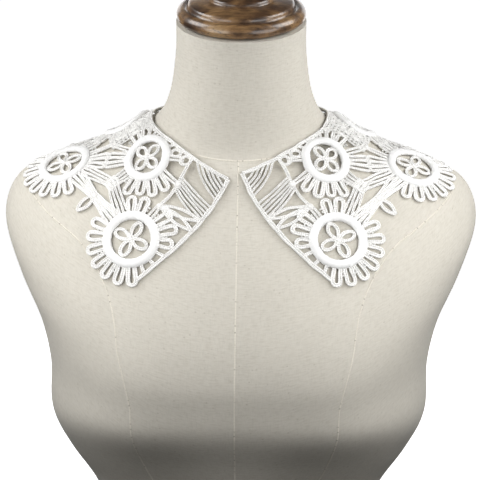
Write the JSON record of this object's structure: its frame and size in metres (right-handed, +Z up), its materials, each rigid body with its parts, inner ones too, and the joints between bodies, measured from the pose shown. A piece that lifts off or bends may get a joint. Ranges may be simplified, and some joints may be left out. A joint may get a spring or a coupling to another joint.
{
  "type": "lace collar on dress form",
  "caption": "Wide white cord-lace collar with padded ring wheels, lying over the shoulders of a limbless linen dress form with a turned wood neck cap.",
  "frame": {"origin": "middle of the base board's underside, where the form stands", "axes": "+Z up the form, -Y to its front, +X to the wearer's left"},
  "size_m": [0.389, 0.2359, 0.6356],
  "materials": {
    "lace": "white cotton cord lace, matt with a soft sheen along each cord",
    "lace_ring": "white padded satin-stitch rings, soft sheen across the stitches",
    "linen": "natural linen plain weave with slubs, matt",
    "wood": "dark stained turned hardwood, glossy varnish",
    "board": "plain sealed board"
  },
  "bodies": {
    "root": {"collar_left": "lace", "collar_right": "lace", "band_left_front": "lace_ring", "band_left_neck_front": "lace_ring", "band_left_shoulder": "lace_ring", "band_left_neck_side": "lace_ring", "band_left_blade": "lace_ring", "band_left_neck_back": "lace_ring", "band_left_back": "lace_ring", "band_right_front": "lace_ring", "band_right_neck_front": "lace_ring", "band_right_shoulder": "lace_ring", "band_right_neck_side": "lace_ring", "band_right_blade": "lace_ring", "band_right_neck_back": "lace_ring", "band_right_back": "lace_ring", "form_body": "linen", "form_neck_cap": "wood", "form_base": "board"}
  },
  "joints": []
}
